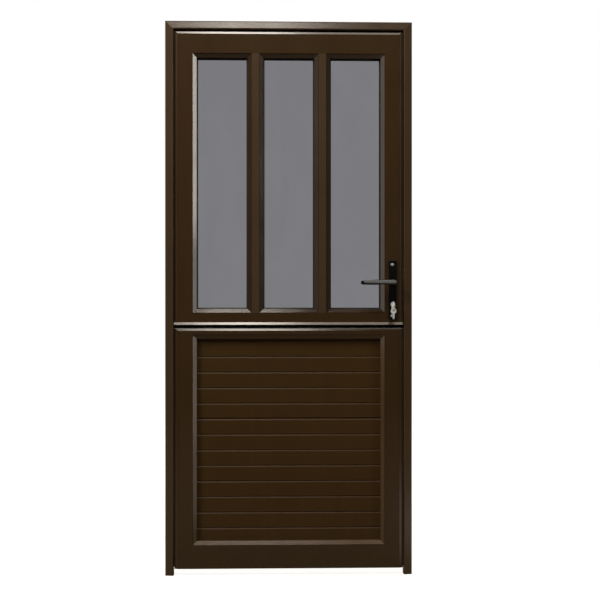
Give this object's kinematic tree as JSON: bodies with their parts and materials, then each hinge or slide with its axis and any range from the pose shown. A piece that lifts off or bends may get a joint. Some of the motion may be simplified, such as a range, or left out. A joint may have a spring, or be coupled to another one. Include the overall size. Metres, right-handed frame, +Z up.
{
  "type": "dutch stable door",
  "caption": "Two-part stable door in a slim metal frame: glazed upper leaf with lever handle and weather bar, slatted lower leaf, leaves swing on their own or bolted together.",
  "frame": {"origin": "on the floor under the middle of the door, half way through the thickness of the leaves", "axes": "+X to the right as seen from the front, +Y to the rear, the way the leaves open, +Z up"},
  "size_m": [0.95, 0.163, 2.13],
  "materials": {
    "frame_coat": "satin",
    "leaf_coat": "satin",
    "bare_aluminium": "satin",
    "seal_rubber": "matte",
    "pane_glass": "gloss",
    "hinge_coat": "satin",
    "handle_black": "satin",
    "zinc_steel": "satin",
    "nickel": "polished"
  },
  "bodies": {
    "frame": {"head": "frame_coat", "jamb_hinge_side": "frame_coat", "jamb_lock_side": "frame_coat", "frame_corner_cleats": "bare_aluminium", "frame_seals": "seal_rubber", "hinge_frame_wings": "hinge_coat", "hinge_pins": "zinc_steel", "strike_plate": "zinc_steel", "jamb_keeper": "zinc_steel", "frame_screws": "zinc_steel"},
    "upper_leaf": {"upper_hinge_stile": "leaf_coat", "upper_lock_stile": "leaf_coat", "upper_top_rail": "leaf_coat", "upper_bottom_rail": "leaf_coat", "mullion_left": "leaf_coat", "mullion_right": "leaf_coat", "upper_corner_cleats": "bare_aluminium", "weather_bar": "leaf_coat", "meeting_seal": "seal_rubber", "upper_hinge_wings": "hinge_coat", "lock_case": "zinc_steel", "lock_forend": "zinc_steel", "front_back_plate": "handle_black", "rear_back_plate": "handle_black", "plate_bolts": "zinc_steel", "lock_cylinder": "nickel", "joining_keeper": "zinc_steel", "upper_leaf_screws": "zinc_steel", "glass_left": "pane_glass", "gaskets_left": "seal_rubber", "beads_left": "leaf_coat", "glass_centre": "pane_glass", "gaskets_centre": "seal_rubber", "beads_centre": "leaf_coat", "glass_right": "pane_glass", "gaskets_right": "seal_rubber", "beads_right": "leaf_coat"},
    "lower_leaf": {"lower_hinge_stile": "leaf_coat", "lower_lock_stile": "leaf_coat", "lower_top_rail": "leaf_coat", "lower_bottom_rail": "leaf_coat", "lower_corner_cleats": "bare_aluminium", "slats": "leaf_coat", "panel_beads": "leaf_coat", "lower_hinge_wings": "hinge_coat", "joining_bolt_body": "zinc_steel", "jamb_bolt_body": "zinc_steel", "lower_leaf_screws": "zinc_steel"},
    "lever": {"front_lever": "handle_black", "rear_lever": "handle_black", "spindle": "zinc_steel", "follower": "zinc_steel"},
    "latch": {"latch_bolt": "zinc_steel"},
    "deadbolt": {"deadbolt": "zinc_steel"},
    "key": {"cylinder_plug": "nickel", "key": "nickel"},
    "spare_key": {"key_ring": "nickel", "spare_key": "nickel"},
    "joining_bolt": {"joining_bolt_rod": "zinc_steel"},
    "jamb_bolt": {"jamb_bolt_rod": "zinc_steel"}
  },
  "joints": [
    {"name": "upper_leaf_swing", "type": "hinge", "parent": "frame", "child": "upper_leaf", "pos_m": [-0.462, 0.024, 1.5], "axis": [0, 0, 1], "range_deg": [0, 110]},
    {"name": "lower_leaf_swing", "type": "hinge", "parent": "frame", "child": "lower_leaf", "pos_m": [-0.462, 0.024, 0.5], "axis": [0, 0, 1], "range_deg": [0, 110]},
    {"name": "lever_turn", "type": "hinge", "parent": "upper_leaf", "child": "lever", "pos_m": [0.4005, 0, 1.127], "axis": [0, -1, 0], "range_deg": [0, 40], "stiffness_Nm_per_rad": 0.8, "springref_deg": -34.38},
    {"name": "latch_slide", "type": "slide", "parent": "upper_leaf", "child": "latch", "axis": [-1, 0, 0], "range_m": [0, 0.011]},
    {"name": "key_turn", "type": "hinge", "parent": "upper_leaf", "child": "key", "pos_m": [0.4005, -0.02, 1.042], "axis": [0, 1, 0], "range_deg": [0, 360]},
    {"name": "deadbolt_slide", "type": "slide", "parent": "upper_leaf", "child": "deadbolt", "axis": [1, 0, 0], "range_m": [0, 0.02]},
    {"name": "spare_key_swing", "type": "hinge", "parent": "key", "child": "spare_key", "pos_m": [0.4005, -0.0555, 1.0391], "axis": [1, 0, 0], "range_deg": [-15, 15]},
    {"name": "joining_bolt_slide", "type": "slide", "parent": "lower_leaf", "child": "joining_bolt", "axis": [0, 0, 1], "range_m": [0, 0.025]},
    {"name": "jamb_bolt_slide", "type": "slide", "parent": "lower_leaf", "child": "jamb_bolt", "axis": [1, 0, 0], "range_m": [0, 0.02]}
  ],
  "couplings": [
    {"joint": "latch_slide", "follows": "lever_turn", "m_per_rad": 0.01575},
    {"joint": "key_turn", "follows": "deadbolt_slide", "rad_per_m": 314.1}
  ]
}
